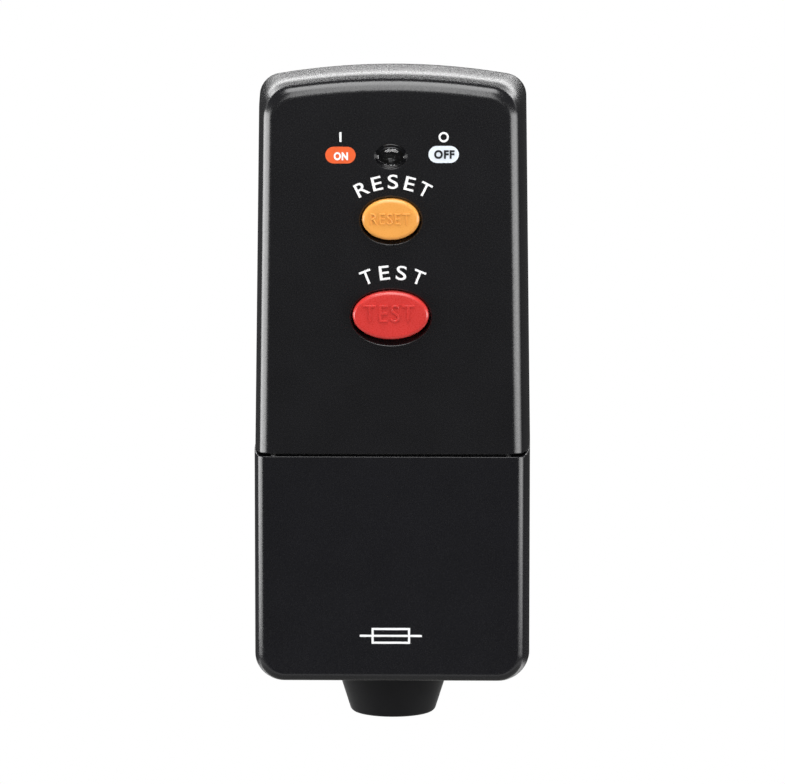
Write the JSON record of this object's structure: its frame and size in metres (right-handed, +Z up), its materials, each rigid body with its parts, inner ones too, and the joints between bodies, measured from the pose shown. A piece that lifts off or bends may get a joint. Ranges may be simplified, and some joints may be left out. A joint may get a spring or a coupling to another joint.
{
  "type": "residual current plug",
  "caption": "Rewireable RCD plug for a mains flex: tapered body with reset and test push buttons, an indicator window, flat pins, a pull-out fuse and a lift-off terminal cover.",
  "frame": {"origin": "on the plug face that meets the socket, at the centre of the pin pattern", "axes": "+X to the right seen from the front, +Y out of the plug face along the pins, +Z up, away from the flex"},
  "size_m": [0.052, 0.0605, 0.1236],
  "materials": {
    "case_black": "fine spark-eroded grain",
    "cover_black": "smooth satin",
    "guard_black": "satin soft moulding",
    "lens_clear": "clear polished",
    "reset_amber": "satin moulding",
    "test_red": "satin moulding",
    "flag_black": "matt",
    "flag_orange": "matt",
    "brass": "plain brass",
    "copper": "copper",
    "steel": "zinc plated",
    "soft_iron": "bare iron, dull",
    "sleeve_black": "satin",
    "carrier_red": "satin",
    "ceramic": "glazed ceramic",
    "nickel": "nickel plated",
    "board_green": "solder mask",
    "nylon_white": "natural nylon",
    "carriage_grey": "glass-filled nylon",
    "chip_black": "matt",
    "film_yellow": "gloss box",
    "disc_blue": "dipped coating",
    "can_navy": "printed sleeve",
    "resistor_tan": "lacquer",
    "lead_brown": "insulated lead",
    "lead_blue": "insulated lead",
    "lead_green": "insulated lead"
  },
  "bodies": {
    "body": {"front_case": "case_black", "rear_case": "case_black", "flex_guard": "guard_black", "indicator_lens": "lens_clear", "case_screws": "steel", "cover_screws": "steel", "live_pin": "brass", "neutral_pin": "brass", "earth_pin": "brass", "pin_sleeves": "sleeve_black", "live_fuse_clip": "brass", "load_fuse_clip": "brass", "circuit_board": "board_green", "board_screws": "steel", "mechanism_frame": "nylon_white", "contact_springs": "steel", "line_contacts": "brass", "load_contacts": "brass", "coil_core": "soft_iron", "coil_bobbin": "nylon_white", "coil_winding": "copper", "flag_pin": "steel", "test_spring": "steel", "test_post": "nylon_white", "test_contact": "brass", "sensing_ring": "copper", "control_chip": "chip_black", "film_capacitor": "film_yellow", "surge_disc": "disc_blue", "smoothing_capacitor": "can_navy", "test_resistor": "resistor_tan", "live_lead": "lead_brown", "neutral_lead": "lead_blue", "earth_lead": "lead_green", "live_terminal": "brass", "neutral_terminal": "brass", "earth_terminal": "brass", "terminal_screws": "steel", "cord_grip_bar": "nylon_white", "cord_grip_screws": "steel"},
    "reset": {"reset_button": "reset_amber", "reset_spring": "steel"},
    "carriage": {"contact_carriage": "carriage_grey", "armature_plate": "soft_iron", "moving_contacts": "copper"},
    "flag": {"flag_lever": "flag_black", "flag_band": "flag_orange"},
    "test": {"test_button": "test_red"},
    "fuse": {"fuse_carrier": "carrier_red", "fuse_body": "ceramic", "fuse_caps": "nickel"},
    "cover": {"terminal_cover": "cover_black"}
  },
  "joints": [
    {"name": "reset_press", "type": "slide", "parent": "body", "child": "reset", "axis": [0, 1, 0], "range_m": [0, 0.003], "stiffness_N_per_m": 500, "springref_m": -0.003},
    {"name": "contact_slide", "type": "slide", "parent": "body", "child": "carriage", "axis": [0, 1, 0], "range_m": [0, 0.003], "deforming": ["contact_springs"]},
    {"name": "flag_turn", "type": "hinge", "parent": "body", "child": "flag", "pos_m": [0, -0.023, 0.0194], "axis": [1, 0, 0], "range_deg": [0, 23.88]},
    {"name": "test_press", "type": "slide", "parent": "body", "child": "test", "axis": [0, 1, 0], "range_m": [0, 0.0015], "stiffness_N_per_m": 400, "springref_m": -0.003, "deforming": ["test_spring"]},
    {"name": "fuse_pull", "type": "slide", "parent": "body", "child": "fuse", "axis": [0, 1, 0], "range_m": [0, 0.014]},
    {"name": "cover_lift", "type": "slide", "parent": "body", "child": "cover", "axis": [0, -1, 0], "range_m": [0, 0.03]}
  ],
  "couplings": [
    {"joint": "contact_slide", "follows": "reset_press", "ratio": 1},
    {"joint": "flag_turn", "follows": "reset_press", "rad_per_m": 138.89}
  ]
}
